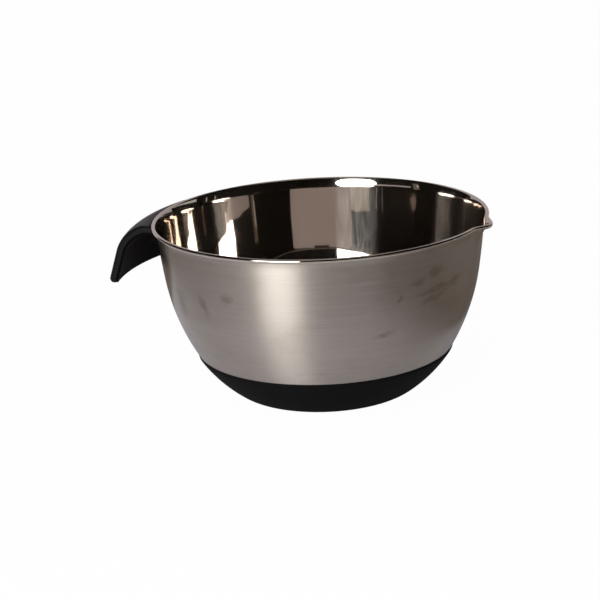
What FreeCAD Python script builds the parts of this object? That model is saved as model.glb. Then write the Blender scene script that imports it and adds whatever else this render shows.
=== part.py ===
import FreeCAD, Part

import math
import os

# Mixing bowl: a spun steel bowl with a rolled pouring rim, a silicone foot pad and a hooked side handle.
# Millimetres. The origin is at the middle of the face that the bowl stands on, +Z is up,
# +X points at the spout and -X at the handle.

# ---- Bowl shell: spun stainless sheet ----------------------------------------------------------------
rim_diameter = 230.0          # over the rolled bead
bowl_height = 122.0           # from the table to the top of the bead
sheet = 0.8                   # thickness of the sheet
bead_diameter = 2.9           # outside of the rolled bead
bead_turn = 270.0             # how far the sheet is curled, degrees
flare_drop = 8.0              # from the top of the bead down to the crease, where the flare leaves the wall
flare_out = 1.5               # how far the flare swings out between the crease and the bead
wall_lean = 5.3               # lean of the wall just under the crease, degrees from upright
upper_wall_radius = 570.0     # the almost straight upper wall
upper_wall_turn = 3.0
lower_wall_radius = 146.0     # the round belly
foot_side_radius = 93.4       # the side of the foot, inside the pad
foot_side_turn = 20.3
foot_corner_radius = 14.8     # between the flat bottom and the side of the foot
foot_corner_turn = 36.5
joggle_radius = 1.2           # small bends of the ledge over the edge of the pad
joggle_turn = 29.0
joggle_ledge = 1.6

# ---- Pouring spout -----------------------------------------------------------------------------------
spout_reach = 5.5             # how far the lip stands out beyond the round rim
spout_dip = 1.0               # how far the lip dips below it
spout_half_angle = 10.0
spout_depth = 18.0            # from the top of the bead down to where the channel starts
spout_crease_share = 0.4      # part of the reach that the crease under the flared band takes
spout_stations = 9            # sections across the spout
spout_lead = 3.0              # plain rim at each side of the spout, formed with it, degrees
spout_seam = 0.002            # closeness within which the spout's foot is taken to lie on the round wall

# ---- Foot pad: silicone, moulded round the bottom ------------------------------------------------------
pad_thickness = 2.2
pad_shoulder_radius = 3.0     # rounded upper edge
pad_shoulder_turn = 43.5
pad_groove_count = 3          # rings cut in the face that the bowl stands on
pad_groove_pitch = 5.0
pad_groove_width = 1.6
pad_groove_depth = 0.8
pad_groove_margin = 4.0       # from the edge of the flat face to the outermost ring

# ---- Handle: a wide hook, concentric with the bowl, in three layers ------------------------------------
handle_width = 80.0
handle_drop = 3.2             # from the top of the bead down to the flat top of the handle
shelf_reach = 5.2             # flat top of the handle beyond the bead
knuckle_radius = 11.0
knuckle_turn = 18.0
hook_radius = 29.0
hook_turn = 54.0
lip_drop = 42.7               # from the flat top down to the end of the lip
frame_thickness = 4.6         # the frame round the soft grip
frame_round = 2.4             # its outer edges
frame_inner_round = 0.6       # its inner edges
lip_corner_radius = 5.0       # lower corners of the lip, seen from outside
bead_clearance = 0.3          # between the handle and the wall under the bead
core_thickness = 1.3          # the plate behind the frame
core_border = 0.2             # how far its edge stands back from the frame's
core_round = 0.4              # its edges, which leave a fine groove against the frame
root_width = 54.0             # the block behind the plate that carries the handle on the wall
root_height = 10.4
root_reach = 9.6
root_round = 2.0              # its lower edge
root_blend = 4.0              # hollow round that carries its outer face up into the plate
root_blend_turn = 50.0
root_sink = 0.3               # how far the top of the block lies inside the plate

# ---- Soft grip: laid in a pocket of the frame ----------------------------------------------------------
grip_border = 1.7             # frame left visible round the grip
grip_pocket = 1.1             # depth of the pocket
grip_groove = 0.4             # open line between the grip and the frame
grip_proud = 0.3              # how far the grip stands out of the frame

# ---- Bracket and screws: steel, hidden in the root -----------------------------------------------------
bracket_sheet = 1.5
bracket_width = 36.0
bracket_height = 8.0
bracket_reach = 7.8           # tongue that the core is screwed to
bracket_cover = 1.2           # plastic left over the tongue
bracket_clearance = 0.2       # round the bracket in the root
screw_spacing = 22.0
screw_diameter = 3.5
screw_head_diameter = 6.4
screw_head_height = 2.2
screw_tip = 0.6               # thread that shows past the tongue
screw_clearance = 0.2         # round the shank and the head in the root
screw_recess = 3.0            # depth of the recess for the head
screw_head_round = 0.8
screw_slot_width = 1.0
screw_slot_depth = 1.0


# ---- Drawing in the section plane ----------------------------------------------------------------------
def place(radius, height):
    return FreeCAD.Vector(radius, 0, height)


def direction(heading):
    angle = math.radians(heading)
    return place(math.cos(angle), math.sin(angle))


def left_of(heading):
    return direction(heading + 90)


class Outline:
    """Lines and tangent arcs in the XZ plane, from a point with a heading in degrees from +X."""

    def __init__(self, start, heading):
        self.end = start
        self.heading = heading
        self.edges = []

    def line_to(self, point):
        self.edges.append(Part.LineSegment(self.end, point).toShape())
        self.end = point

    def arc(self, radius, turn):
        """A turn to the left is positive."""
        spoke = radius * math.copysign(1, turn)
        centre = self.end + left_of(self.heading) * spoke
        middle = centre - left_of(self.heading + turn / 2) * spoke
        finish = centre - left_of(self.heading + turn) * spoke
        self.edges.append(Part.Arc(self.end, middle, finish).toShape())
        self.end = finish
        self.heading += turn

    def follow(self, steps, offset=0.0):
        """Steps are (length, 0) or (radius, turn). Offset draws the same path that far to its left."""
        for size, turn in steps:
            if turn == 0:
                self.line_to(self.end + direction(self.heading) * size)
            else:
                self.arc(size - offset * math.copysign(1, turn), turn)


def parallel(start, heading, steps, offset):
    outline = Outline(start + left_of(heading) * offset, heading)
    outline.follow(steps, offset)
    return outline


def bridge(start, end):
    return Part.LineSegment(start, end).toShape()


def band_face(one, other, start_one, start_other):
    """The face between two outlines that run side by side."""
    edges = one.edges + [bridge(one.end, other.end)]
    edges = edges + list(reversed(other.edges)) + [bridge(start_other, start_one)]
    return Part.Face(Part.Wire(edges))


def turned(face, angle, first):
    """A solid of revolution about the axis of the bowl, from the azimuth first."""
    axis = FreeCAD.Vector(0, 0, 1)
    section = face.copy()
    section.rotate(FreeCAD.Vector(), axis, first)
    return section.revolve(FreeCAD.Vector(), axis, angle)


# ---- Lines and points that several pieces share --------------------------------------------------------
rim_radius = rim_diameter / 2
bead_radius = bead_diameter / 2
curl_radius = bead_radius - sheet
bead_centre = place(rim_radius - bead_radius, bowl_height - bead_radius)
crease = place(bead_centre.x - curl_radius - flare_out, bowl_height - flare_drop)

# The upper wall is one arc under the crease. The spout's channel starts on it at the band's foot.
wall_heading = 90 - wall_lean
upper_wall_centre = crease + left_of(wall_heading) * upper_wall_radius
band_drop = upper_wall_centre.z - (bowl_height - spout_depth)
band_heading = math.degrees(math.acos(band_drop / upper_wall_radius))
band_foot = upper_wall_centre - left_of(band_heading) * upper_wall_radius
belly_heading = wall_heading - upper_wall_turn
belly_top = upper_wall_centre - left_of(belly_heading) * upper_wall_radius

# The belly's arc starts on the ledge at the heading that brings it to the upper wall's foot.
foot_steps = [(foot_corner_radius, foot_corner_turn), (foot_side_radius, foot_side_turn)]
ledge_steps = [(joggle_radius, -joggle_turn), (joggle_ledge, 0)]
foot_rise = parallel(place(0, pad_thickness), 0, foot_steps + ledge_steps, 0)
belly_rise = belly_top.z - foot_rise.end.z
belly_cosine = belly_rise + lower_wall_radius * math.cos(math.radians(belly_heading))
belly_cosine = belly_cosine - joggle_radius * math.cos(math.radians(foot_rise.heading))
belly_cosine = belly_cosine / (lower_wall_radius - joggle_radius)
ledge_top_heading = math.degrees(math.acos(belly_cosine))
ledge_end_step = (joggle_radius, ledge_top_heading - foot_rise.heading)
belly_step = (lower_wall_radius, belly_heading - ledge_top_heading)
foot_to_belly = parallel(foot_rise.end, foot_rise.heading, [ledge_end_step, belly_step], 0)
foot_radius = belly_top.x - foot_to_belly.end.x
flat_step = (foot_radius, 0)

# Outer line of the handle's hook, from the wall to the end of the lip.
handle_top = bowl_height - handle_drop
shelf_length = rim_radius + shelf_reach - crease.x
hook_start = place(crease.x, handle_top)
hook_steps = [(shelf_length, 0), (knuckle_radius, -knuckle_turn), (hook_radius, -hook_turn)]
lip_bottom = handle_top - lip_drop
core_top = handle_top - frame_thickness
tongue_top = core_top - bracket_cover
root_bottom = core_top - root_height
screw_seat = root_bottom + screw_recess
screw_radius = crease.x + bracket_sheet + (bracket_reach - bracket_sheet) / 2


# ---- Bowl shell ----------------------------------------------------------------------------------------
def spring_curve(start, end):
    """Stretch of the wall that leaves start along the band's foot and bends evenly to end."""
    chord = end - start
    end_heading = 2 * math.degrees(math.atan2(chord.z, chord.x)) - band_heading
    pull = chord.Length / 3
    curve = Part.BezierCurve()
    curve.setPoles([start, start + direction(band_heading) * pull, end - direction(end_heading) * pull, end])
    return curve.toShape(), end_heading


def flare_step(corner, heading, bead):
    """The arc that leaves the wall at the crease and runs smoothly onto the inside of the curl."""
    reach = corner - bead
    side = left_of(heading)
    radius = (reach.dot(reach) - curl_radius ** 2) / (reach.dot(side) - curl_radius) / 2
    spoke = bead - (corner - side * radius)
    return radius, math.degrees(math.atan2(spoke.z, spoke.x)) - 90 - heading


def rim_section(push, dip):
    """The sheet above the band's foot, with the bead pushed out and dipped: wall, flare, curl."""
    bead = bead_centre + place(push, -dip)
    corner = crease + place(push, -dip) * spout_crease_share
    outer_wall, heading = spring_curve(band_foot, corner)
    inner_foot = band_foot + left_of(band_heading) * sheet
    inner_wall, _ = spring_curve(inner_foot, corner + left_of(heading) * sheet)
    steps = [flare_step(corner, heading, bead), (curl_radius, -bead_turn / 2), (curl_radius, -bead_turn / 2)]
    inside = parallel(corner, heading, steps, 0)
    outside = parallel(corner, heading, steps, sheet)
    edges = [outer_wall] + inside.edges + [bridge(inside.end, outside.end)]
    edges = edges + list(reversed(outside.edges)) + [inner_wall, bridge(inner_foot, band_foot)]
    return Part.Wire(edges)


def spout_section(azimuth):
    swell = 0.0
    if abs(azimuth) < spout_half_angle:
        swell = math.cos(math.pi / 2 * azimuth / spout_half_angle) ** 2
    section = rim_section(spout_reach * swell, spout_dip * swell)
    section.rotate(FreeCAD.Vector(), FreeCAD.Vector(0, 0, 1), azimuth)
    return section


def spout_band():
    """Loft through sections that swell from the plain rim to the lip and back."""
    gaps = spout_stations - 1
    azimuths = [spout_half_angle * (2 * index / gaps - 1) for index in range(spout_stations)]
    for side in (-1, 1):
        azimuths.append(side * (spout_half_angle + spout_lead / 2))
        azimuths.append(side * (spout_half_angle + spout_lead))
    sections = [spout_section(azimuth) for azimuth in sorted(azimuths)]
    return Part.makeLoft(sections, True, False)


def bowl_shell():
    steps = [flat_step] + foot_steps + ledge_steps + [ledge_end_step, belly_step]
    steps = steps + [(upper_wall_radius, band_heading - belly_heading)]
    start = place(0, pad_thickness)
    outer = parallel(start, 0, steps, 0)
    inner = parallel(start, 0, steps, sheet)
    dish = turned(band_face(outer, inner, start, start + place(0, sheet)), 360, 0)
    formed_angle = spout_half_angle + spout_lead
    plain_rim = turned(Part.Face(rim_section(0, 0)), 360 - 2 * formed_angle, formed_angle)
    return dish.fuse([plain_rim, spout_band()], spout_seam).removeSplitter()


# ---- Foot pad ------------------------------------------------------------------------------------------
def base_pad():
    start = place(0, pad_thickness)
    inner = parallel(start, 0, [flat_step] + foot_steps + ledge_steps + [ledge_end_step], 0)
    outer = parallel(start, 0, [flat_step] + foot_steps, -pad_thickness)
    outer.arc(pad_shoulder_radius, pad_shoulder_turn)
    pad = turned(band_face(outer, inner, place(0, 0), start), 360, 0)
    for index in range(pad_groove_count):
        middle = foot_radius - pad_groove_margin - index * pad_groove_pitch
        ring = Part.makeCylinder(middle + pad_groove_width / 2, pad_groove_depth)
        pad = pad.cut(ring.cut(Part.makeCylinder(middle - pad_groove_width / 2, pad_groove_depth)))
    return pad


# ---- Handle --------------------------------------------------------------------------------------------
def inside_of_wall(gap):
    """Everything inside the outer face of the shell's upper wall and flare, grown by gap."""
    outline = Outline(belly_top - left_of(belly_heading) * gap, belly_heading)
    outline.arc(upper_wall_radius + gap, upper_wall_turn)
    flare_radius, flare_turn = flare_step(crease, wall_heading, bead_centre)
    outline.arc(flare_radius - gap, flare_turn)
    outline.line_to(outline.end + direction(outline.heading) * flare_drop)
    outline.line_to(place(0, outline.end.z))
    outline.line_to(place(0, belly_top.z - gap))
    outline.line_to(belly_top - left_of(belly_heading) * gap)
    return turned(Part.Face(Part.Wire(outline.edges)), 360, 0)


def slab(width, low, high):
    """Block on the handle's side of the bowl, between two parallel planes."""
    length = rim_radius * 2
    return Part.makeBox(length, width, high - low, FreeCAD.Vector(-length, -width / 2, low))


def hook_window(inset):
    """Everything over the handle's outline, seen along X, with its two lower corners rounded."""
    half = handle_width / 2 - inset
    bottom = lip_bottom + inset
    radius = lip_corner_radius - inset
    outline = Outline(place(-half, bowl_height), -90)
    outline.line_to(place(-half, bottom + radius))
    outline.arc(radius, 90)
    outline.line_to(place(half - radius, bottom))
    outline.arc(radius, 90)
    outline.line_to(place(half, bowl_height))
    outline.line_to(place(-half, bowl_height))
    face = Part.Face(Part.Wire(outline.edges))
    face.rotate(FreeCAD.Vector(), FreeCAD.Vector(0, 0, 1), 90)
    return face.extrude(FreeCAD.Vector(-rim_diameter, 0, 0))


def hook_layer(top, bottom, inset):
    """The part of the hook between two depths under its outer face, with its edges set in."""
    steps = hook_steps + [(lip_drop, 0)]
    upper = parallel(hook_start, 0, steps, -top)
    lower = parallel(hook_start, 0, steps, -bottom)
    face = band_face(upper, lower, hook_start - place(0, top), hook_start - place(0, bottom))
    half_turn = math.degrees(math.asin(handle_width / 2 / crease.x)) + 1
    layer = turned(face, 2 * half_turn, 180 - half_turn)
    return layer.common(hook_window(inset))


def round_long_edges(layer, outer_radius, inner_radius):
    """Rounds the outer and the inner edge all the way round, led by the two edges across the tip."""
    across = [edge for edge in layer.Edges if edge.BoundBox.YLength > root_width]
    across.sort(key=lambda edge: edge.CenterOfMass.z)
    inner_edge, outer_edge = across[:2]
    return layer.makeFillet(outer_radius, [outer_edge]).makeFillet(inner_radius, [inner_edge])


def inlay(top, bottom, inset):
    """Layer that keeps clear of the bead and of the edges of the frame."""
    return hook_layer(top, bottom, inset).cut(Part.makeCylinder(rim_radius + inset, bowl_height))


def handle_frame():
    frame = round_long_edges(hook_layer(0, frame_thickness, 0), frame_round, frame_inner_round)
    pocket = inlay(-grip_proud, grip_pocket, grip_border)
    return frame.cut(pocket).cut(inside_of_wall(bead_clearance))


def handle_grip():
    return inlay(-grip_proud, grip_pocket, grip_border + grip_groove)


def root_block():
    """Block on the wall whose outer face sweeps over into the plate."""
    inside = rim_radius / 2
    outer_face = crease.x + root_reach
    block_top = core_top - core_thickness + root_sink
    blend_rise = root_blend * math.sin(math.radians(root_blend_turn))
    outline = Outline(place(inside, root_bottom), 0)
    outline.line_to(place(outer_face - root_round, root_bottom))
    outline.arc(root_round, 90)
    outline.line_to(place(outer_face, block_top - blend_rise))
    outline.arc(root_blend, -root_blend_turn)
    outline.line_to(place(inside, block_top))
    outline.line_to(place(inside, root_bottom))
    half_turn = math.degrees(math.asin(root_width / 2 / crease.x)) * 2
    block = turned(Part.Face(Part.Wire(outline.edges)), 2 * half_turn, 180 - half_turn)
    return block.common(slab(root_width, 0, bowl_height))


def bracket_blank(grow):
    """Bent bracket, with its flange on the wall, grown all round."""
    width = bracket_width + 2 * grow
    tongue_bottom = tongue_top - bracket_sheet - grow
    flange = slab(width, tongue_top - bracket_height - grow, tongue_top + grow)
    flange = flange.common(inside_of_wall(bracket_sheet + grow))
    tongue = slab(width, tongue_bottom, tongue_top + grow)
    tongue = tongue.common(Part.makeCylinder(crease.x + bracket_reach + grow, bowl_height))
    return flange.fuse(tongue).cut(inside_of_wall(0))


def at_screws(shape):
    """Copies of a shape drawn round the Z axis, one at each screw."""
    across = screw_spacing / 2
    along = math.sqrt(screw_radius ** 2 - across ** 2)
    return [shape.translated(FreeCAD.Vector(-along, side * across, 0)) for side in (-1, 1)]


def disc(diameter, low, high):
    return Part.makeCylinder(diameter / 2, high - low, FreeCAD.Vector(0, 0, low))


def handle_core():
    plate = hook_layer(frame_thickness, frame_thickness + core_thickness, core_border)
    plate = round_long_edges(plate, core_round, core_round)
    shank_hole = disc(screw_diameter + 2 * screw_clearance, 0, tongue_top + screw_tip + screw_clearance)
    head_hole = disc(screw_head_diameter + 2 * screw_clearance, 0, screw_seat)
    cuts = [inside_of_wall(bead_clearance), bracket_blank(bracket_clearance)]
    cuts = cuts + at_screws(shank_hole) + at_screws(head_hole)
    return plate.fuse(root_block()).cut(cuts).removeSplitter()


def handle_bracket():
    return bracket_blank(0).cut(at_screws(disc(screw_diameter, 0, bowl_height)))


def handle_screws():
    head_bottom = screw_seat - screw_head_height
    head = disc(screw_head_diameter, head_bottom, screw_seat)
    head = head.makeFillet(screw_head_round, [edge for edge in head.Edges if edge.BoundBox.ZMax < screw_seat])
    shank = disc(screw_diameter, screw_seat, tongue_top + screw_tip)
    slot_corner = FreeCAD.Vector(-screw_head_diameter, -screw_slot_width / 2, head_bottom)
    slot = Part.makeBox(2 * screw_head_diameter, screw_slot_width, screw_slot_depth, slot_corner)
    screw = head.fuse(shank).cut(slot)
    return Part.makeCompound(at_screws(screw))


# ---- One STEP file per piece ---------------------------------------------------------------------------
pieces = {
    "bowl_shell": bowl_shell,
    "base_pad": base_pad,
    "handle_frame": handle_frame,
    "handle_grip": handle_grip,
    "handle_core": handle_core,
    "handle_bracket": handle_bracket,
    "handle_screws": handle_screws,
}


def main():
    os.makedirs("parts", exist_ok=True)
    for name, make in pieces.items():
        shape = make()
        print(name, len(shape.Solids), shape.isValid(), round(shape.Volume), shape.BoundBox)
        shape.exportStep(os.path.join("parts", name + ".step"))


main()
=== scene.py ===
"""Looks of the mixing bowl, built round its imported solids.

Sizes are in metres, in the frame of the part.
"""

import math

import bmesh
import bpy
from bpy.props import FloatProperty, FloatVectorProperty, IntProperty, PointerProperty
from mathutils import Matrix, Vector


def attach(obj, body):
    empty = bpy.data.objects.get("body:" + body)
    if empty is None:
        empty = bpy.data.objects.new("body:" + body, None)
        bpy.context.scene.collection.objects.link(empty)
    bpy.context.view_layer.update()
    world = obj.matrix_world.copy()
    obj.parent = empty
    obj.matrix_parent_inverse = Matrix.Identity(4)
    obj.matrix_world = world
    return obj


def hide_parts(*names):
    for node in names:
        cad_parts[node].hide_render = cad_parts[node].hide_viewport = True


bl_info = {
    "name": "Mixing bowl",
    "version": (1, 0, 0),
    "blender": (4, 5, 0),
    "location": "3D View > Sidebar > Mixing bowl",
    "description": "Builds the steel, silicone and nylon of a mixing bowl round its packed solids",
    "category": "Object",
}

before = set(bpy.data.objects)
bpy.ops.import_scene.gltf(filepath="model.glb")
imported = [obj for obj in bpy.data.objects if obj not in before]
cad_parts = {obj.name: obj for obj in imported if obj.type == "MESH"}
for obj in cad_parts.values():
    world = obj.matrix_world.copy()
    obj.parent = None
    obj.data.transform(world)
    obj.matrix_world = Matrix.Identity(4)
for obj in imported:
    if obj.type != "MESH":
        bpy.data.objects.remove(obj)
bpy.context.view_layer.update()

MM = 0.001


# ---- Colours -------------------------------------------------------------------------------------
def linear(code):
    """An sRGB hex colour, such as "8a8580", as the linear colour that shaders take."""
    shares = [int(code[start:start + 2], 16) / 255 for start in (0, 2, 4)]
    return [
        share / 12.92 if share <= 0.04045 else ((share + 0.055) / 1.055) ** 2.4
        for share in shares
    ]


def size_property(name, description, millimetres):
    return FloatProperty(
        name=name, description=description, default=millimetres * MM, unit="LENGTH"
    )


def angle_property(name, description, degrees):
    return FloatProperty(
        name=name, description=description, default=math.radians(degrees), subtype="ANGLE"
    )


def colour_property(name, description, code):
    return FloatVectorProperty(
        name=name, description=description, default=linear(code), subtype="COLOR"
    )


# ---- Settings ------------------------------------------------------------------------------------
class BowlShape(bpy.types.PropertyGroup):
    """Sizes of the spun sheet."""

    rim_diameter: size_property("Rim diameter", "Over the rolled bead", 230)
    height: size_property("Height", "From the table to the top of the bead", 122)
    sheet: size_property("Sheet", "Thickness of the sheet", 0.8)
    bottom: size_property("Bottom", "Height of the flat bottom over the table", 2.2)
    bead_diameter: size_property("Bead", "Outside of the rolled bead", 2.9)
    bead_turn: angle_property("Bead turn", "How far the sheet is curled", 270)
    flare_drop: size_property("Flare drop", "From the top of the bead down to the crease", 8)
    flare_out: size_property("Flare", "How far the sheet swings out under the bead", 1.5)
    spout_reach: size_property("Spout reach", "How far the lip stands out beyond the rim", 5.5)
    spout_dip: size_property("Spout dip", "How far the lip dips below the rim", 1.0)
    spout_depth: size_property("Spout depth", "From the bead's top to the start of the channel", 18)
    spout_crease_share: FloatProperty(
        name="Crease share",
        description="Part of the reach that the crease takes",
        default=0.4,
        min=0,
        max=1,
    )
    spout_half_angle: angle_property("Spout half angle", "Half of the rim that the spout takes", 10)
    facets: IntProperty(
        name="Facets", description="Steps of the sheet round the bowl", default=360, min=90
    )


class BowlFinish(bpy.types.PropertyGroup):
    """Colours of the finishes."""

    brushed: colour_property("Brushed steel", "Outer face of the bowl", "c8c0b6")
    hairline: colour_property("Hairlines", "Deeper lines of the brushing", "c0b8ae")
    polished: colour_property("Polished steel", "Inner face and bead", "d6cdc3")
    stain: colour_property("Finger marks", "Film of grease on the outer face", "83694e")
    silicone: colour_property("Silicone", "Foot pad", "0c0c0c")
    nylon: colour_property("Nylon", "Frame of the handle", "0e0d0d")
    # The core's colour is painted darker than the frame's nylon: painted shade for where it lies
    # deep in the handle.
    core: colour_property("Core", "Plate and root behind the frame", "060505")
    grip: colour_property("Grip", "Soft skin of the handle", "1b1819")
    fixing: colour_property("Fixings", "Bracket and screws", "b8b8b8")


class BowlStudio(bpy.types.PropertyGroup):
    """Stage, lamps and camera."""

    azimuth: angle_property("Azimuth", "Turn of the camera round the bowl", 20)
    distance: size_property("Distance", "From the bowl's axis to the camera", 1108.6)
    camera_height: size_property("Camera height", "Over the table", 399)
    pitch: angle_property("Pitch", "How far the camera looks down", 16.925)
    yaw: angle_property("Yaw", "How far the camera looks to the left", 0.842)
    roll: angle_property("Roll", "Tilt of the camera", 2.862)
    lens: FloatProperty(
        name="Lens", description="Focal length in millimetres", default=100.33, min=1
    )
    key: FloatProperty(
        name="Key lamp", description="Power of the soft box in watts", default=14.5, min=0
    )
    fill: FloatProperty(name="Fill", description="Level of the even light", default=0.45, min=0)


# ---- Nodes ---------------------------------------------------------------------------------------
# Sockets of a Mix node that mixes two colours, which share their names with its other sockets.
mix_share, mix_first, mix_second, mix_colour = 0, 6, 7, 2


def add_node(tree, kind, settings=None, inputs=None):
    """Adds a node. An input takes a socket, a node's first output, or a plain value."""
    node = tree.nodes.new(kind)
    for name, value in (settings or {}).items():
        setattr(node, name, value)
    for name, value in (inputs or {}).items():
        if isinstance(value, bpy.types.Node):
            tree.links.new(value.outputs[0], node.inputs[name])
        elif isinstance(value, bpy.types.NodeSocket):
            tree.links.new(value, node.inputs[name])
        else:
            node.inputs[name].default_value = value
    return node


def new_material(name):
    material = bpy.data.materials.new(name)
    material.use_nodes = True
    material.node_tree.nodes.clear()
    return material, material.node_tree


def opaque(colour):
    return [*colour, 1.0]


def per_metre(*size):
    """Scale of a pattern whose cells are as large as size, in metres."""
    return [1 / side for side in size]


# ---- Materials -----------------------------------------------------------------------------------
# Finger marks on the outer face: azimuth and tilt in degrees, then radius, height, half length and
# half width in millimetres.
finger_marks = (
    (-26.3, 6, 108.7, 90.3, 26, 3.4),
    (-18.5, 10, 108.8, 91.0, 10, 4.5),
    (-28.2, 12, 107.6, 84.2, 18, 2.8),
    (-29.2, 14, 110.0, 102.0, 9, 5.0),
    (-37.0, 10, 109.5, 97.0, 10, 2.4),
    (-43.9, 50, 108.3, 87.7, 5, 2.8),
    (-48.5, 13, 103.8, 65.6, 11, 3.0),
    (-131.0, 85, 106.8, 79.0, 15, 9.0),
    (-116.3, -65, 107.7, 83.6, 11, 5.0),
    (-104.7, 25, 108.8, 91.0, 7, 5.0),
)
# Half the thickness of a mark across the sheet, enough for the curve of the wall to stay in it.
mark_depth = 12 * MM
# The edge of a mark wanders by half of this to each side.
mark_wander = 9 * MM
# The lines run level round the axis. A quarter turn from them spreads each highlight upright.
across_lines = 0.25


def finger_film(tree, place):
    """Strength of the film where fingers have dragged over the steel.

    Where marks lie over each other, the strongest of them counts.
    """
    cells = add_node(
        tree,
        "ShaderNodeMapping",
        inputs={"Vector": place, "Scale": per_metre(9 * MM, 9 * MM, 4 * MM)},
    )
    wander = add_node(
        tree, "ShaderNodeTexNoise", inputs={"Vector": cells, "Scale": 1.0, "Detail": 3.0}
    )
    pushed = add_node(
        tree,
        "ShaderNodeVectorMath",
        {"operation": "MULTIPLY_ADD"},
        {0: wander.outputs["Color"], 1: [mark_wander] * 3, 2: place},
    )
    ragged = add_node(
        tree,
        "ShaderNodeVectorMath",
        {"operation": "SUBTRACT"},
        {0: pushed, 1: [mark_wander / 2] * 3},
    )
    film = 0.0
    for azimuth, tilt, radius, height, half_length, half_width in finger_marks:
        around = math.radians(azimuth)
        middle = Vector((math.cos(around) * radius, math.sin(around) * radius, height)) * MM
        mark = add_node(
            tree,
            "ShaderNodeMapping",
            {"vector_type": "TEXTURE"},
            {
                "Vector": ragged,
                "Location": middle,
                "Rotation": (0, -math.radians(tilt), around + math.pi / 2),
                "Scale": (half_length * MM, mark_depth, half_width * MM),
            },
        )
        fading = add_node(
            tree, "ShaderNodeTexGradient", {"gradient_type": "SPHERICAL"}, {"Vector": mark}
        )
        film = add_node(
            tree, "ShaderNodeMath", {"operation": "MAXIMUM"}, {0: film, 1: fading.outputs["Fac"]}
        )
    return film


def brushed_stainless(finish):
    """Stainless sheet brushed on the lathe.

    Its level hairlines draw each highlight out into an upright band.
    """
    material, tree = new_material("brushed_stainless")
    place = add_node(tree, "ShaderNodeTexCoord").outputs["Object"]
    # Hairlines are about 0.1 mm apart, which is too fine to show, so they are drawn 0.6 mm apart.
    hairline_cells = add_node(
        tree,
        "ShaderNodeMapping",
        inputs={"Vector": place, "Scale": per_metre(60 * MM, 60 * MM, 0.6 * MM)},
    )
    hairlines = add_node(
        tree,
        "ShaderNodeTexNoise",
        inputs={"Vector": hairline_cells, "Scale": 1.0, "Detail": 3.0, "Roughness": 0.6},
    )
    roughness = add_node(
        tree,
        "ShaderNodeMapRange",
        inputs={
            "Value": hairlines,
            "From Min": 0.3,
            "From Max": 0.7,
            "To Min": 0.34,
            "To Max": 0.42,
        },
    )
    relief = add_node(
        tree, "ShaderNodeBump", inputs={"Height": hairlines, "Distance": 0.002 * MM}
    )
    shade = add_node(
        tree,
        "ShaderNodeMapRange",
        inputs={"Value": hairlines, "From Min": 0.35, "From Max": 0.65},
    )
    streaks = add_node(
        tree,
        "ShaderNodeMix",
        {"data_type": "RGBA"},
        {
            mix_share: shade,
            mix_first: opaque(finish.brushed),
            mix_second: opaque(finish.hairline),
        },
    )
    # Handling leaves a thin brownish film in patches as large as a finger or a palm.
    patch_cells = add_node(
        tree,
        "ShaderNodeMapping",
        inputs={"Vector": place, "Scale": per_metre(34 * MM, 34 * MM, 22 * MM)},
    )
    patches = add_node(
        tree,
        "ShaderNodeTexNoise",
        inputs={"Vector": patch_cells, "Scale": 1.0, "Detail": 4.0, "Roughness": 0.6},
    )
    handled = add_node(
        tree,
        "ShaderNodeMapRange",
        inputs={"Value": patches, "From Min": 0.5, "From Max": 0.72, "To Max": 0.16},
    )
    dragged = add_node(
        tree,
        "ShaderNodeMapRange",
        inputs={
            "Value": finger_film(tree, place),
            "From Min": 0.05,
            "From Max": 0.7,
            "To Max": 0.36,
        },
    )
    film = add_node(tree, "ShaderNodeMath", {"operation": "MAXIMUM"}, {0: handled, 1: dragged})
    tint = add_node(
        tree,
        "ShaderNodeMix",
        {"data_type": "RGBA"},
        {
            mix_share: film,
            mix_first: streaks.outputs[mix_colour],
            mix_second: opaque(finish.stain),
        },
    )
    steel = {
        "Base Color": tint.outputs[mix_colour],
        "Metallic": 1.0,
        "Anisotropic Rotation": across_lines,
        "Tangent": add_node(
            tree, "ShaderNodeTangent", {"direction_type": "RADIAL", "axis": "Z"}
        ),
    }
    lines = add_node(
        tree,
        "ShaderNodeBsdfPrincipled",
        inputs={**steel, "Roughness": roughness, "Anisotropic": 0.95, "Normal": relief},
    )
    # Crossed scratches between the lines spread some of the light sideways too.
    scratches = add_node(
        tree,
        "ShaderNodeBsdfPrincipled",
        inputs={**steel, "Roughness": 0.5, "Anisotropic": 0.6, "Normal": relief},
    )
    brushing = add_node(tree, "ShaderNodeMixShader", inputs={0: 0.3, 1: lines, 2: scratches})
    # At a glancing angle brushed metal turns towards a mirror.
    glossy = add_node(
        tree,
        "ShaderNodeBsdfPrincipled",
        inputs={**steel, "Roughness": 0.2, "Anisotropic": 0.9},
    )
    slant = add_node(tree, "ShaderNodeLayerWeight", inputs={"Blend": 0.5})
    glancing = add_node(
        tree,
        "ShaderNodeMapRange",
        {"interpolation_type": "SMOOTHSTEP"},
        {"Value": slant.outputs["Facing"], "From Min": 0.4, "From Max": 0.8, "To Max": 0.7},
    )
    surface = add_node(
        tree, "ShaderNodeMixShader", inputs={0: glancing, 1: brushing, 2: glossy}
    )
    add_node(tree, "ShaderNodeOutputMaterial", inputs={"Surface": surface})
    return material


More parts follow.
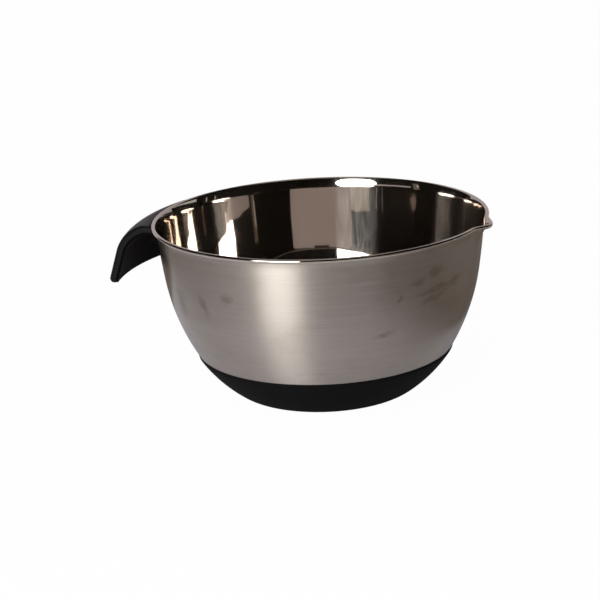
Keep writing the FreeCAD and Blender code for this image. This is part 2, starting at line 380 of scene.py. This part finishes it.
def polished_stainless(finish):
    """Stainless sheet buffed to a mirror: sharp reflections, a little wavy from the spinning.

    Level marks from the buffing wheel draw a faint upright haze out of each bright reflection.
    """
    material, tree = new_material("polished_stainless")
    place = add_node(tree, "ShaderNodeTexCoord").outputs["Object"]
    # Spinning leaves waves a few centimetres long and about a tenth of a millimetre deep.
    wave_cells = add_node(
        tree,
        "ShaderNodeMapping",
        inputs={"Vector": place, "Scale": per_metre(38 * MM, 38 * MM, 26 * MM)},
    )
    waves = add_node(
        tree, "ShaderNodeTexNoise", inputs={"Vector": wave_cells, "Scale": 1.0, "Detail": 1.0}
    )
    steel = {
        "Base Color": opaque(finish.polished),
        "Metallic": 1.0,
        "Normal": add_node(
            tree, "ShaderNodeBump", inputs={"Height": waves, "Distance": 0.12 * MM}
        ),
    }
    mirror = add_node(tree, "ShaderNodeBsdfPrincipled", inputs={**steel, "Roughness": 0.03})
    # The haze is stronger in some places than in others. It is drawn in upright streaks 2 mm wide,
    # coarser than they are, so that they show.
    streak_cells = add_node(
        tree,
        "ShaderNodeMapping",
        inputs={"Vector": place, "Scale": per_metre(2 * MM, 2 * MM, 60 * MM)},
    )
    streaks = add_node(
        tree, "ShaderNodeTexNoise", inputs={"Vector": streak_cells, "Scale": 1.0, "Detail": 2.0}
    )
    haze = add_node(
        tree,
        "ShaderNodeMapRange",
        inputs={
            "Value": streaks,
            "From Min": 0.3,
            "From Max": 0.7,
            "To Min": 0.03,
            "To Max": 0.13,
        },
    )
    tangent = add_node(tree, "ShaderNodeTangent", {"direction_type": "RADIAL", "axis": "Z"})
    marks = add_node(
        tree,
        "ShaderNodeBsdfPrincipled",
        inputs={
            **steel,
            "Roughness": 0.22,
            "Anisotropic": 0.97,
            "Anisotropic Rotation": across_lines,
            "Tangent": tangent,
        },
    )
    surface = add_node(tree, "ShaderNodeMixShader", inputs={0: haze, 1: mirror, 2: marks})
    add_node(tree, "ShaderNodeOutputMaterial", inputs={"Surface": surface})
    return material


def moulded(name, tint, roughness, specular, pore, depth):
    """Moulded plastic or rubber: its fine even grain breaks the highlight up into a soft sheen.

    The pores are finer than 0.1 mm, and each finish draws them as coarse as they need to show.
    """
    material, tree = new_material(name)
    place = add_node(tree, "ShaderNodeTexCoord").outputs["Object"]
    pore_cells = add_node(
        tree, "ShaderNodeMapping", inputs={"Vector": place, "Scale": per_metre(pore, pore, pore)}
    )
    pores = add_node(
        tree, "ShaderNodeTexNoise", inputs={"Vector": pore_cells, "Scale": 1.0, "Detail": 2.0}
    )
    relief = add_node(tree, "ShaderNodeBump", inputs={"Height": pores, "Distance": depth})
    shader = add_node(
        tree,
        "ShaderNodeBsdfPrincipled",
        inputs={
            "Base Color": opaque(tint),
            "Roughness": roughness,
            "IOR": 1.45,
            "Specular IOR Level": specular,
            "Normal": relief,
        },
    )
    add_node(tree, "ShaderNodeOutputMaterial", inputs={"Surface": shader})
    return material


def zinc_plated_steel(finish):
    """Bright zinc plating on pressed steel: a plain silver-grey sheen."""
    material, tree = new_material("zinc_plated_steel")
    shader = add_node(
        tree,
        "ShaderNodeBsdfPrincipled",
        inputs={"Base Color": opaque(finish.fixing), "Metallic": 1.0, "Roughness": 0.3},
    )
    add_node(tree, "ShaderNodeOutputMaterial", inputs={"Surface": shader})
    return material


# ---- Pieces --------------------------------------------------------------------------------------
def finish_piece(bm, name, materials, replaced):
    """Makes the mesh an object at the origin that rides on the part and stands for a CAD node."""
    mesh = bpy.data.meshes.new(name)
    bm.to_mesh(mesh)
    bm.free()
    for material in materials:
        mesh.materials.append(material)
    piece = bpy.data.objects.new(name, mesh)
    bpy.context.scene.collection.objects.link(piece)
    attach(piece, "root")
    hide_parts(replaced)


def coat(node, material):
    """Gives a CAD node its material."""
    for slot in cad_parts[node].material_slots:
        slot.material = material


def rounded_copy(node, radius):
    """A bmesh of a CAD node with its loose triangles joined and its sharp edges rounded."""
    join_distance = 0.002 * MM
    sharp_angle = math.radians(35)
    bm = bmesh.new()
    bm.from_mesh(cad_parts[node].data)
    bmesh.ops.remove_doubles(bm, verts=bm.verts, dist=join_distance)
    bmesh.ops.bevel(
        bm,
        geom=[edge for edge in bm.edges if edge.calc_face_angle(0) > sharp_angle],
        offset=radius,
        offset_type="OFFSET",
        segments=3,
        profile=0.5,
        affect="EDGES",
        material=-1,
    )
    for face in bm.faces:
        face.smooth = True
    return bm


# ---- Section of the sheet ------------------------------------------------------------------------
def section_point(radius, height):
    return Vector((radius, 0, height))


def direction(heading):
    return section_point(math.cos(heading), math.sin(heading))


def left_of(heading):
    return direction(heading + math.pi / 2)


class SectionLine:
    """A line of edges drawn in the XZ plane from its last vertex. Headings are angles from +X."""

    def __init__(self, bm, start, heading):
        self.bm = bm
        self.first = bm.verts.new(start)
        self.last = self.first
        self.heading = heading

    def straight(self, length, parts):
        step = direction(self.heading) * length / parts
        for _ in range(parts):
            made = bmesh.ops.extrude_vert_indiv(self.bm, verts=[self.last])
            self.last = made["verts"][0]
            bmesh.ops.translate(self.bm, verts=[self.last], vec=step)

    def arc(self, radius, turn, parts):
        """A turn to the left is positive."""
        centre = self.last.co + left_of(self.heading) * math.copysign(radius, turn)
        made = bmesh.ops.spin(
            self.bm,
            geom=[self.last],
            cent=centre,
            axis=(0, -1, 0),
            dvec=(0, 0, 0),
            angle=turn,
            steps=parts,
            use_merge=False,
            use_duplicate=False,
        )
        self.last = made["geom_last"][0]
        self.heading += turn

    def curve_to(self, point, parts):
        """The arc that leaves along the line's heading and ends at point."""
        chord = point - self.last.co
        turn = 2 * (math.atan2(chord.z, chord.x) - self.heading)
        self.arc(abs(chord.length / 2 / math.sin(turn / 2)), turn, parts)


class WallForms:
    """Steps of the wall from the flat bottom up, and the points that the spout starts from."""

    # Radius, turn in degrees and parts of each arc. Without a turn it is a straight of that length.
    foot = (
        (14.8 * MM, 36.5, 8),
        (93.4 * MM, 20.3, 10),
        (1.2 * MM, -29.0, 4),
        (1.6 * MM, 0, 1),
    )
    joggle_radius = 1.2 * MM
    belly_radius = 146 * MM
    wall_radius = 570 * MM
    # At the crease the wall leans out by 5.3 degrees. Its arc leaves the belly 3 degrees earlier.
    wall_heading = math.radians(90 - 5.3)
    belly_heading = wall_heading - math.radians(3)

    def __init__(self, shape):
        self.shape = shape
        self.bead_radius = shape.bead_diameter / 2
        self.curl_radius = self.bead_radius - shape.sheet
        self.bead = section_point(
            shape.rim_diameter / 2 - self.bead_radius, shape.height - self.bead_radius
        )
        self.crease = section_point(
            self.bead.x - self.curl_radius - shape.flare_out, shape.height - shape.flare_drop
        )
        wall_centre = self.crease + left_of(self.wall_heading) * self.wall_radius
        drop = wall_centre.z - (shape.height - shape.spout_depth)
        self.band_heading = math.acos(drop / self.wall_radius)
        self.band_foot = wall_centre - left_of(self.band_heading) * self.wall_radius
        self.belly_top = wall_centre - left_of(self.belly_heading) * self.wall_radius
        self.find_ledge()

    def find_ledge(self):
        """Turns of the ledge and the belly that meet the wall, and the flat bottom's radius."""
        bm = bmesh.new()
        line = SectionLine(bm, section_point(0, self.shape.bottom), 0)
        self.draw_foot(line, 0)
        rise = self.belly_top.z - line.last.co.z
        cosine = rise + self.belly_radius * math.cos(self.belly_heading)
        cosine = cosine - self.joggle_radius * math.cos(line.heading)
        ledge_heading = math.acos(cosine / (self.belly_radius - self.joggle_radius))
        self.ledge_turn = ledge_heading - line.heading
        self.belly_turn = self.belly_heading - ledge_heading
        line.arc(self.joggle_radius, self.ledge_turn, 1)
        line.arc(self.belly_radius, self.belly_turn, 1)
        self.flat_radius = self.belly_top.x - line.last.co.x
        bm.free()

    def draw_foot(self, line, offset):
        for size, turn, parts in self.foot:
            if turn:
                line.arc(size - math.copysign(offset, turn), math.radians(turn), parts)
            else:
                line.straight(size, parts)


def flare_arc(forms, crease, heading, bead):
    """Radius and turn of the arc that leaves the wall at the crease and runs onto the curl."""
    reach = crease - bead
    side = left_of(heading)
    gap = reach.dot(side) - forms.curl_radius
    radius = (reach.length_squared - forms.curl_radius**2) / gap / 2
    spoke = bead - (crease - side * radius)
    return radius, math.atan2(spoke.z, spoke.x) - math.pi / 2 - heading


def draw_face(bm, forms, offset, push, dip):
    """One face of the sheet from the axis to the end of the curl.

    The inner face lies offset to the left of the outer one. The spout pushes the bead outwards
    and dips it, and takes the crease a share of that way.
    """
    shift = section_point(push, -dip)
    crease = forms.crease + shift * forms.shape.spout_crease_share
    chord = crease - forms.band_foot
    heading = 2 * math.atan2(chord.z, chord.x) - forms.band_heading
    flare_radius, flare_turn = flare_arc(forms, crease, heading, forms.bead + shift)
    wall_turn = forms.band_heading - forms.belly_heading
    line = SectionLine(bm, section_point(0, forms.shape.bottom + offset), 0)
    line.straight(forms.flat_radius, parts=8)
    forms.draw_foot(line, offset)
    line.arc(forms.joggle_radius - offset, forms.ledge_turn, parts=4)
    line.arc(forms.belly_radius - offset, forms.belly_turn, parts=30)
    line.arc(forms.wall_radius - offset, wall_turn, parts=5)
    line.curve_to(crease + left_of(heading) * offset, parts=9)
    line.arc(flare_radius + offset, flare_turn, parts=12)
    line.arc(forms.curl_radius + offset, -forms.shape.bead_turn, parts=20)
    return line


def draw_section(bm, forms, push, dip):
    """Both faces of the sheet as one line.

    The vertices are in order from the outer face's middle to the inner one's.
    """
    outer = draw_face(bm, forms, 0, push, dip)
    inner = draw_face(bm, forms, forms.shape.sheet, push, dip)
    bm.edges.new((outer.last, inner.last))
    order = [outer.first, outer.first.link_edges[0].other_vert(outer.first)]
    while order[-1] != inner.first:
        onward = [edge.other_vert(order[-1]) for edge in order[-1].link_edges]
        order.append(onward[0] if onward[1] == order[-2] else onward[1])
    return order


def press_spout(bm, forms, station):
    """Moves each upright line of the spun sheet that lies in the spout onto its own section."""
    shape = forms.shape
    # 1 mm under the start of the channel, so that the ring of vertices there moves too.
    lowest = shape.height - shape.spout_depth - 1 * MM
    # Azimuths that agree to this many decimals of a radian are on one upright line.
    decimals = 5
    columns = {}
    for vert in bm.verts:
        azimuth = math.atan2(vert.co.y, vert.co.x)
        if vert.co.z > lowest and abs(azimuth) < shape.spout_half_angle:
            columns.setdefault(round(azimuth, decimals), []).append(vert)
    for azimuth, verts in columns.items():
        swell = math.cos(math.pi / 2 * azimuth / shape.spout_half_angle) ** 2
        section = bmesh.new()
        order = draw_section(section, forms, shape.spout_reach * swell, shape.spout_dip * swell)
        turn = Matrix.Rotation(azimuth, 3, "Z")
        for vert in verts:
            vert.co = turn @ order[vert[station]].co
        section.free()


def spun_sheet(shape):
    """The whole shell: its section spun round the axis, with the spout pressed into the rim."""
    join_distance = 0.001 * MM
    forms = WallForms(shape)
    bm = bmesh.new()
    # The station counts the vertices along the section.
    station = bm.verts.layers.int.new("station")
    order = draw_section(bm, forms, 0, 0)
    for index, vert in enumerate(order):
        vert[station] = index
    bmesh.ops.spin(
        bm,
        geom=bm.verts[:] + bm.edges[:],
        cent=(0, 0, 0),
        axis=(0, 0, 1),
        dvec=(0, 0, 0),
        angle=math.tau,
        steps=shape.facets,
        use_merge=True,
        use_duplicate=False,
    )
    press_spout(bm, forms, station)
    # The inner face is the polished one. The curl turns it outwards, so the bead is polished too.
    halfway = len(order) // 2
    for face in bm.faces:
        face.material_index = int(max(vert[station] for vert in face.verts) >= halfway)
        face.smooth = True
    bmesh.ops.remove_doubles(bm, verts=bm.verts, dist=join_distance)
    bmesh.ops.recalc_face_normals(bm, faces=bm.faces)
    return bm


class MIXINGBOWL_OT_bowl(bpy.types.Operator):
    """Spins the steel bowl with its rolled bead and pouring spout"""

    bl_idname = "mixing_bowl.bowl"
    bl_label = "Steel bowl"

    def execute(self, context):
        finish = context.scene.bowl_finish
        sheet = spun_sheet(context.scene.bowl_shape)
        materials = [brushed_stainless(finish), polished_stainless(finish)]
        finish_piece(sheet, "steel_bowl", materials, "bowl_shell")
        return {"FINISHED"}


class MIXINGBOWL_OT_pad(bpy.types.Operator):
    """Gives the foot pad its silicone"""

    bl_idname = "mixing_bowl.pad"
    bl_label = "Foot pad"

    def execute(self, context):
        finish = context.scene.bowl_finish
        # Silicone rubber from a matte mould: a dull black with hardly any highlight.
        silicone = moulded(
            "moulded_silicone",
            finish.silicone,
            roughness=0.7,
            specular=0.1,
            pore=0.8 * MM,
            depth=0.01 * MM,
        )
        coat("base_pad", silicone)
        return {"FINISHED"}


class MIXINGBOWL_OT_handle(bpy.types.Operator):
    """Gives the handle its nylon frame and core, and rounds the edges of its soft grip"""

    bl_idname = "mixing_bowl.handle"
    bl_label = "Handle"

    edge_round = 0.25 * MM

    def execute(self, context):
        finish = context.scene.bowl_finish
        # Nylon from a grained mould: black, with a weak sheen along its edges.
        frame_nylon = moulded(
            "moulded_nylon",
            finish.nylon,
            roughness=0.5,
            specular=0.2,
            pore=0.7 * MM,
            depth=0.02 * MM,
        )
        coat("handle_frame", frame_nylon)
        # Nylon from a smooth mould, deep in the handle. Its colour is painted darker than the
        # frame's nylon, and its highlight is nearly taken away: painted shade for where it lies
        # deep in the handle.
        core_nylon_painted_shade = moulded(
            "smooth_nylon_painted_shade",
            finish.core,
            roughness=0.5,
            specular=0.04,
            pore=1.5 * MM,
            depth=0.004 * MM,
        )
        coat("handle_core", core_nylon_painted_shade)
        # Soft rubber moulded over the nylon: a dark grey with a broad satin highlight.
        skin = moulded(
            "overmoulded_rubber",
            finish.grip,
            roughness=0.45,
            specular=0.45,
            pore=1.2 * MM,
            depth=0.004 * MM,
        )
        grip = rounded_copy("handle_grip", self.edge_round)
        finish_piece(grip, "soft_grip", [skin], "handle_grip")
        return {"FINISHED"}


class MIXINGBOWL_OT_fixings(bpy.types.Operator):
    """Gives the bracket and its screws their bright steel"""

    bl_idname = "mixing_bowl.fixings"
    bl_label = "Bracket and screws"

    def execute(self, context):
        steel = zinc_plated_steel(context.scene.bowl_finish)
        coat("handle_bracket", steel)
        coat("handle_screws", steel)
        return {"FINISHED"}


# ---- Stage ---------------------------------------------------------------------------------------
# Felt of the flags and mats, which the steel shows as its dark, grey and pale parts.
felts = {
    "dark_felt": "1c1a18",
    "pale_felt": "dcd2d4",
    "white_felt": "dedad6",
    "umber_felt": "85796f",
    "bright_felt": "ffffff",
    "top_felt": "d2cac2",
    "grey_felt": "968b84",
    "near_felt": "e8e6ee",
}
tent_height = 1.7
# Walls of the tent round the bowl: the two ends on the floor, lower and upper edge, felt.
tent_walls = {
    "flag_left": ((-1.2, -1.8), (-1.2, 1.33), 0, tent_height, "dark_felt"),
    "flag_front": ((-1.2, -1.8), (1.2, -1.8), 0, tent_height, "dark_felt"),
    "flag_right": ((1.2, -1.8), (1.2, 1.12), 0, tent_height, "dark_felt"),
    "flag_back": ((-1.2, 1.33), (1.6, 1.33), 0, tent_height, "pale_felt"),
    "flag_lintel": ((-0.26, 1.32), (0.32, 1.32), 1.08, tent_height, "dark_felt"),
}
# Boards inside the tent: bearings of the two ends, distance, lower and upper edge, felt.
boards = {
    "flag_wing": (47, 76, 1.15, 0.27, 0.385, "white_felt"),
    "flag_board": (-146, -106, 1.15, 0.24, 0.315, "pale_felt"),
    "flag_stand": (-103.5, -98, 1.1, 0, 0.48, "umber_felt"),
    "flag_post": (-100, -98.6, 1.08, 0.29, 0.38, "bright_felt"),
    "flag_pole": (86, 87, 1.1, 0, 0.36, "pale_felt"),
    "flag_rod": (95, 95.6, 1.1, 0, 0.36, "pale_felt"),
}
# Panels that lie level: width and length, middle, felt. The roof of the tent has a pale panel
# under it, so that the bottom of the bowl shows as bright steel from the top. The mats lie just
# under the table's level.
level_panels = {
    "flag_above": ((2.4, 3.1), (0, -0.25, tent_height), "dark_felt"),
    "flag_top": ((1.2, 1.2), (0, 0.15, 1.65), "top_felt"),
    "mat": ((1.3, 1.3), (0, 0, -0.1 * MM), "grey_felt"),
    "near_mat": ((0.44, 0.44), (-0.08, -0.06, -0.05 * MM), "near_felt"),
}
paper_side = 12
paper_level = -0.2 * MM
# Share of the paper's white that is its own glow, for the rays that show it.
paper_glow = 0.98
bowl_middle = (0, 0, 0.06)
key_place = (-0.68, -1.22, 0.45)
key_diameter = 0.8


def seen_plain(tree):
    """1 for the rays that show the background: from the camera, and by way of metal or glass."""
    path = add_node(tree, "ShaderNodeLightPath")
    shiny = add_node(
        tree,
        "ShaderNodeMath",
        {"operation": "MAXIMUM"},
        {0: path.outputs["Is Glossy Ray"], 1: path.outputs["Is Transmission Ray"]},
    )
    return add_node(
        tree,
        "ShaderNodeMath",
        {"operation": "MAXIMUM"},
        {0: path.outputs["Is Camera Ray"], 1: shiny},
    )


def white_paper():
    """Seamless white paper under the bowl. What doesn't glow of it keeps the bowl's soft shadow."""
    material, tree = new_material("white_paper")
    matte = add_node(tree, "ShaderNodeBsdfDiffuse", inputs={"Color": opaque(linear("f2f2f2"))})
    glow = add_node(
        tree,
        "ShaderNodeEmission",
        inputs={"Color": opaque(linear("ffffff")), "Strength": 1.0},
    )
    share = add_node(
        tree, "ShaderNodeMath", {"operation": "MULTIPLY"}, {0: seen_plain(tree), 1: paper_glow}
    )
    surface = add_node(tree, "ShaderNodeMixShader", inputs={0: share, 1: matte, 2: glow})
    add_node(tree, "ShaderNodeOutputMaterial", inputs={"Surface": surface})
    return material


def pressed_felt(name, code):
    """Pressed wool felt: matte and even, without a highlight."""
    material, tree = new_material(name)
    matte = add_node(tree, "ShaderNodeBsdfDiffuse", inputs={"Color": opaque(linear(code))})
    add_node(tree, "ShaderNodeOutputMaterial", inputs={"Surface": matte})
    return material


def stage_panel(name, size, stance, material):
    """A flat panel of the stage, of a width and a length. The stance puts it in its place."""
    bm = bmesh.new()
    bmesh.ops.create_grid(bm, x_segments=1, y_segments=1, size=0.5)
    bmesh.ops.scale(bm, verts=bm.verts, vec=(*size, 1))
    bmesh.ops.transform(bm, verts=bm.verts, matrix=stance)
    mesh = bpy.data.meshes.new(name)
    bm.to_mesh(mesh)
    bm.free()
    mesh.materials.append(material)
    panel = bpy.data.objects.new(name, mesh)
    bpy.context.scene.collection.objects.link(panel)
    return panel


def flag(name, size, stance, material):
    """A panel outside the view, which shows only as a reflection and takes no light away."""
    panel = stage_panel(name, size, stance, material)
    panel.visible_camera = False
    panel.visible_diffuse = False
    panel.visible_transmission = False
    panel.visible_shadow = False


def upright(start, end, low, high):
    """Size and stance of an upright panel over the line from start to end."""
    run = Vector(end) - Vector(start)
    middle = (Vector(start) + Vector(end)) / 2
    stance = (
        Matrix.Translation((middle.x, middle.y, (low + high) / 2))
        @ Matrix.Rotation(math.atan2(run.y, run.x), 4, "Z")
        @ Matrix.Rotation(math.pi / 2, 4, "X")
    )
    return (run.length, high - low), stance


def bearing(degrees, distance):
    """Point on the floor in a direction measured to the right from the far side of the bowl."""
    angle = math.radians(degrees)
    return Vector((math.sin(angle), math.cos(angle))) * distance


def aimed(point, target):
    """Place and turn of something at point whose -Z looks at target."""
    turn = (Vector(target) - Vector(point)).to_track_quat("-Z", "Y")
    return Matrix.Translation(point) @ turn.to_matrix().to_4x4()


def key_lamp(stance, watts):
    """A round soft box with white light."""
    lamp = bpy.data.lights.new("key", "AREA")
    lamp.shape = "DISK"
    lamp.size = key_diameter
    lamp.energy = watts
    box = bpy.data.objects.new("key", lamp)
    box.matrix_world = stance
    bpy.context.scene.collection.objects.link(box)


class MIXINGBOWL_OT_stage(bpy.types.Operator):
    """Sets the paper, flags, lamp, world and camera"""

    bl_idname = "mixing_bowl.stage"
    bl_label = "Stage"

    def execute(self, context):
        studio = context.scene.bowl_studio
        facing = Matrix.Rotation(studio.azimuth, 4, "Z")
        floor = Matrix.Translation((0, 0, paper_level))
        stage_panel("paper", (paper_side, paper_side), floor, white_paper())
        self.set_flags(facing)
        key_lamp(facing @ aimed(key_place, bowl_middle), studio.key)
        self.set_world(context, studio)
        self.set_camera(context, studio, facing)
        context.scene.view_settings.view_transform = "Standard"
        return {"FINISHED"}

    def set_flags(self, facing):
        cloths = {name: pressed_felt(name, code) for name, code in felts.items()}
        for name, (start, end, low, high, cloth) in tent_walls.items():
            size, stance = upright(start, end, low, high)
            flag(name, size, facing @ stance, cloths[cloth])
        for name, (first, second, distance, low, high, cloth) in boards.items():
            ends = bearing(first, distance), bearing(second, distance)
            size, stance = upright(*ends, low, high)
            flag(name, size, facing @ stance, cloths[cloth])
        for name, (size, middle, cloth) in level_panels.items():
            flag(name, size, facing @ Matrix.Translation(middle), cloths[cloth])

    def set_world(self, context, studio):
        world = bpy.data.worlds.new("studio")
        world.use_nodes = True
        world.node_tree.nodes.clear()
        tree = world.node_tree
        level = add_node(
            tree,
            "ShaderNodeMapRange",
            inputs={"Value": seen_plain(tree), "To Min": studio.fill, "To Max": 1.0},
        )
        light = add_node(
            tree,
            "ShaderNodeBackground",
            inputs={"Color": opaque(linear("ffffff")), "Strength": level},
        )
        add_node(tree, "ShaderNodeOutputWorld", inputs={"Surface": light})
        context.scene.world = world

    def set_camera(self, context, studio, facing):
        data = bpy.data.cameras.new("camera")
        data.lens = studio.lens
        camera = bpy.data.objects.new("camera", data)
        camera.matrix_world = (
            facing
            @ Matrix.Translation((0, -studio.distance, studio.camera_height))
            @ Matrix.Rotation(studio.yaw, 4, "Z")
            @ Matrix.Rotation(-studio.pitch, 4, "X")
            @ Matrix.Rotation(studio.roll, 4, "Y")
            @ Matrix.Rotation(math.pi / 2, 4, "X")
        )
        context.scene.collection.objects.link(camera)
        context.scene.camera = camera


# ---- Sidebar -------------------------------------------------------------------------------------
class MIXINGBOWL_PT_sidebar(bpy.types.Panel):
    """Settings of the bowl and buttons for its pieces"""

    bl_idname = "MIXINGBOWL_PT_sidebar"
    bl_label = "Mixing bowl"
    bl_space_type = "VIEW_3D"
    bl_region_type = "UI"
    bl_category = "Mixing bowl"

    def draw(self, context):
        column = self.layout.column()
        for group in groups:
            settings = getattr(context.scene, group)
            for name in settings.__annotations__:
                column.prop(settings, name)
            column.separator()
        for step in steps:
            column.operator(step.bl_idname)


groups = {"bowl_shape": BowlShape, "bowl_finish": BowlFinish, "bowl_studio": BowlStudio}
steps = (
    MIXINGBOWL_OT_bowl,
    MIXINGBOWL_OT_pad,
    MIXINGBOWL_OT_handle,
    MIXINGBOWL_OT_fixings,
    MIXINGBOWL_OT_stage,
)
classes = (*groups.values(), *steps, MIXINGBOWL_PT_sidebar)


def register():
    for item in classes:
        bpy.utils.register_class(item)
    for name, group in groups.items():
        setattr(bpy.types.Scene, name, PointerProperty(type=group))


def unregister():
    for name in groups:
        delattr(bpy.types.Scene, name)
    for item in reversed(classes):
        bpy.utils.unregister_class(item)


def main():
    register()
    bpy.ops.mixing_bowl.bowl()
    bpy.ops.mixing_bowl.pad()
    bpy.ops.mixing_bowl.handle()
    bpy.ops.mixing_bowl.fixings()
    bpy.ops.mixing_bowl.stage()


if __name__ == "__main__":
    main()
